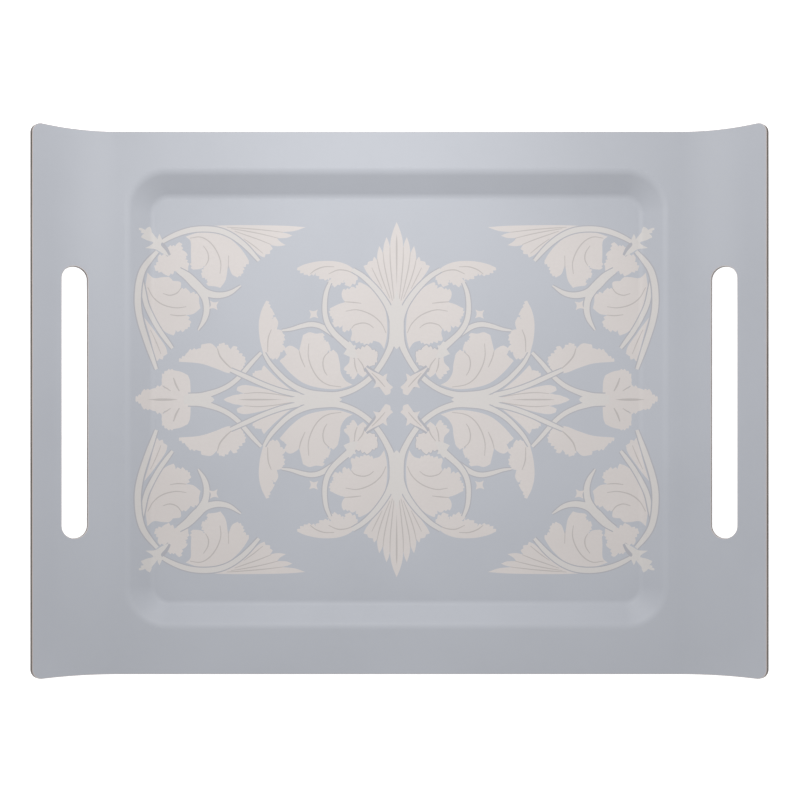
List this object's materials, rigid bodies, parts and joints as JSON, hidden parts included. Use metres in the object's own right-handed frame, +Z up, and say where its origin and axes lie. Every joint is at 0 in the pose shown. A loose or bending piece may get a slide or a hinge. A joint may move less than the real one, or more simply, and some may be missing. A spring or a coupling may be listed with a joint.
{
  "type": "serving tray",
  "caption": "Rectangular press-moulded laminate serving tray with a shallow rounded well and two bent-up ends, each with a long carrying slot.",
  "frame": {"origin": "centre of the bounding box in X and Y, on the underside of the well floor, which is the face that the tray stands on", "axes": "+X along the tray from one handle slot to the other, +Y across it, +Z up out of the well"},
  "size_m": [0.501, 0.378, 0.0393],
  "materials": {
    "printed_melamine": "satin melamine surface in a light blue-grey, with a cream scroll print in the well",
    "plain_melamine": "satin melamine surface in a plain light blue-grey",
    "long_grain_veneer": "birch veneer, grain along the tray, cut edge stained dark brown and sealed",
    "cross_grain_veneer": "birch veneer, grain across the tray, cut edge stained dark brown and sealed"
  },
  "bodies": {
    "root": {"decor_sheet": "printed_melamine", "face_veneer": "long_grain_veneer", "upper_cross_veneer": "cross_grain_veneer", "core_veneer": "long_grain_veneer", "lower_cross_veneer": "cross_grain_veneer", "back_veneer": "long_grain_veneer", "backing_sheet": "plain_melamine"}
  },
  "joints": []
}
